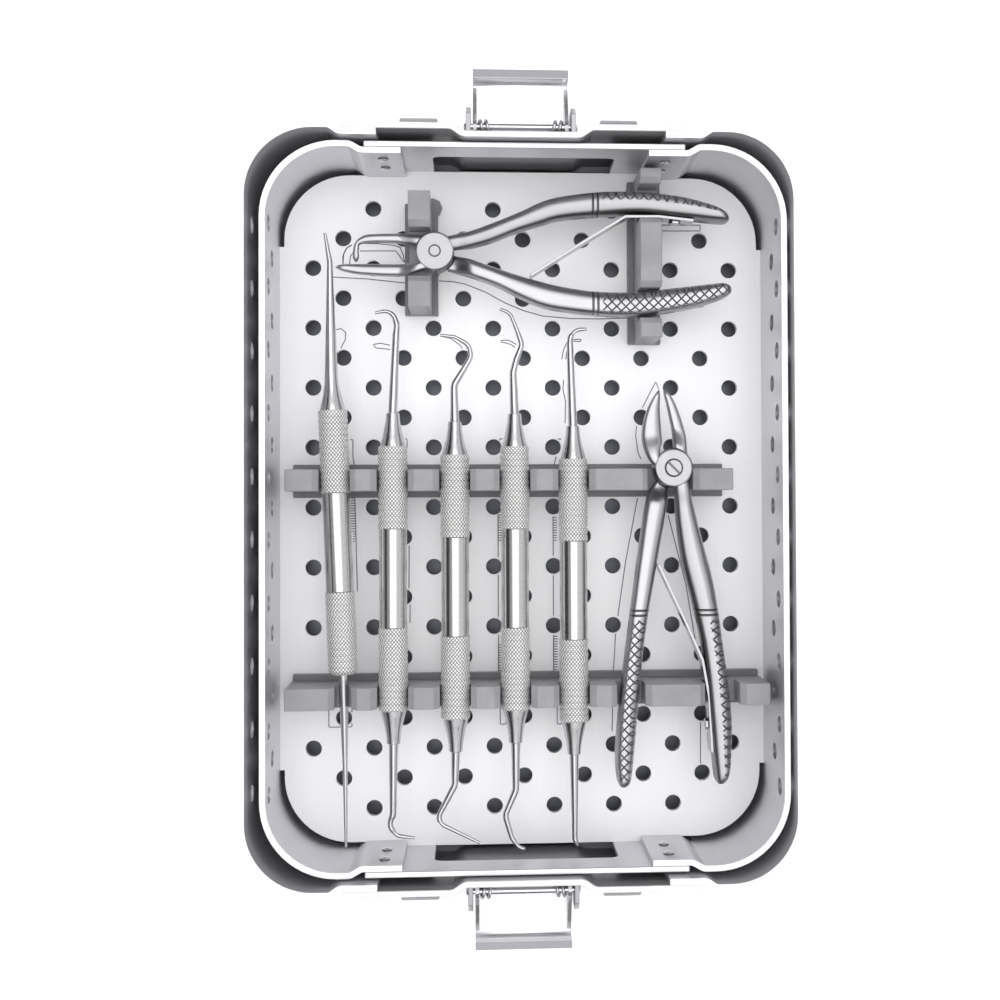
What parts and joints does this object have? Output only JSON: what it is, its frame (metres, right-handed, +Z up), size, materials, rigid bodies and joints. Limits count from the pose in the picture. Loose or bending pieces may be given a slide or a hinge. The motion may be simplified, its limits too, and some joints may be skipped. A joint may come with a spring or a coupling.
{
  "type": "dental instrument cassette",
  "caption": "Open sterilising cassette: an aluminium case with a sprung latch at each end, a perforated lift-out tray, silicone racks, and the hand instruments and pliers they hold.",
  "frame": {"origin": "on the ground under the middle of the case", "axes": "+X across the case, +Y along it to the rear latch, +Z up out of the open case"},
  "size_m": [0.175, 0.2786, 0.049],
  "materials": {
    "case_wall": "brushed sheet, light cut edges",
    "tray_wall": "brushed sheet, light cut edges",
    "tray_sheet": "bright brushed perforated sheet with etched outlines",
    "rivet": "satin",
    "foot": "matt grey",
    "latch_steel": "bright satin",
    "spring_steel": "satin",
    "silicone": "translucent matt silicone",
    "polished_steel": "polished, knurled grips",
    "satin_steel": "satin, cross-hatched grips"
  },
  "bodies": {
    "case": {"case_band_left": "case_wall", "case_band_right": "case_wall", "case_end_front": "case_wall", "case_end_rear": "case_wall", "case_feet": "foot", "case_floor": "case_wall", "case_rivets": "rivet", "latch_bracket_front": "latch_steel", "latch_bracket_rear": "latch_steel", "latch_pin_front": "latch_steel", "latch_pin_rear": "latch_steel", "latch_rivets": "rivet", "latch_spring_front": "spring_steel", "latch_spring_rear": "spring_steel"},
    "latch_rear": {"latch_plate_rear": "latch_steel"},
    "latch_front": {"latch_plate_front": "latch_steel"},
    "tray": {"rack_front": "silicone", "rack_left": "silicone", "rack_middle": "silicone", "rack_right": "silicone", "tray_band_left": "tray_wall", "tray_band_right": "tray_wall", "tray_end_front": "tray_wall", "tray_end_rear": "tray_wall", "tray_floor": "tray_sheet", "tray_rivets": "rivet"},
    "pick": {"pick_handle": "polished_steel", "pick_tip_rear": "polished_steel", "pick_tip_front": "polished_steel"},
    "scaler": {"scaler_handle": "polished_steel", "scaler_tip_rear": "polished_steel", "scaler_tip_front": "polished_steel"},
    "probe": {"probe_handle": "polished_steel", "probe_tip_rear": "polished_steel", "probe_tip_front": "polished_steel"},
    "curette": {"curette_handle": "polished_steel", "curette_tip_rear": "polished_steel", "curette_tip_front": "polished_steel"},
    "hoe": {"hoe_handle": "polished_steel", "hoe_tip_rear": "polished_steel", "hoe_tip_front": "polished_steel"},
    "band_pliers": {"band_pliers_lower_half": "satin_steel", "band_pliers_pivot": "satin_steel"},
    "band_pliers_jaw": {"band_pliers_upper_half": "satin_steel", "band_pliers_leaf_spring": "spring_steel", "band_pliers_leaf_rivet": "satin_steel"},
    "extraction_forceps": {"extraction_forceps_lower_half": "satin_steel", "extraction_forceps_pivot": "satin_steel"},
    "extraction_forceps_jaw": {"extraction_forceps_upper_half": "satin_steel", "extraction_forceps_leaf_spring": "spring_steel", "extraction_forceps_leaf_rivet": "satin_steel"}
  },
  "joints": [
    {"name": "latch_rear_hinge", "type": "hinge", "parent": "case", "child": "latch_rear", "pos_m": [0, 0.12105, 0.039], "axis": [1, 0, 0], "range_deg": [0, 90], "stiffness_Nm_per_rad": 0.002},
    {"name": "latch_front_hinge", "type": "hinge", "parent": "case", "child": "latch_front", "pos_m": [0, -0.12105, 0.039], "axis": [-1, 0, 0], "range_deg": [0, 90], "stiffness_Nm_per_rad": 0.002},
    {"name": "tray_lift", "type": "slide", "parent": "case", "child": "tray", "axis": [0, 0, 1], "range_m": [0, 0.06]},
    {"name": "pick_lift", "type": "slide", "parent": "tray", "child": "pick", "axis": [0, 0, 1], "range_m": [0, 0.04]},
    {"name": "scaler_lift", "type": "slide", "parent": "tray", "child": "scaler", "axis": [0, 0, 1], "range_m": [0, 0.04]},
    {"name": "probe_lift", "type": "slide", "parent": "tray", "child": "probe", "axis": [0, 0, 1], "range_m": [0, 0.04]},
    {"name": "curette_lift", "type": "slide", "parent": "tray", "child": "curette", "axis": [0, 0, 1], "range_m": [0, 0.04]},
    {"name": "hoe_lift", "type": "slide", "parent": "tray", "child": "hoe", "axis": [0, 0, 1], "range_m": [0, 0.04]},
    {"name": "band_pliers_lift", "type": "slide", "parent": "tray", "child": "band_pliers", "axis": [0, 0, 1], "range_m": [0, 0.04]},
    {"name": "band_pliers_hinge", "type": "hinge", "parent": "band_pliers", "child": "band_pliers_jaw", "pos_m": [-0.0276, 0.0822, 0.031], "axis": [0, 0, 1], "range_deg": [0, 1.5], "stiffness_Nm_per_rad": 0.05},
    {"name": "extraction_forceps_lift", "type": "slide", "parent": "tray", "child": "extraction_forceps", "axis": [0, 0, 1], "range_m": [0, 0.04]},
    {"name": "extraction_forceps_hinge", "type": "hinge", "parent": "extraction_forceps", "child": "extraction_forceps_jaw", "pos_m": [0.0492, 0.0124, 0.031], "axis": [0, 0, 1], "range_deg": [0, 1.5], "stiffness_Nm_per_rad": 0.05}
  ]
}
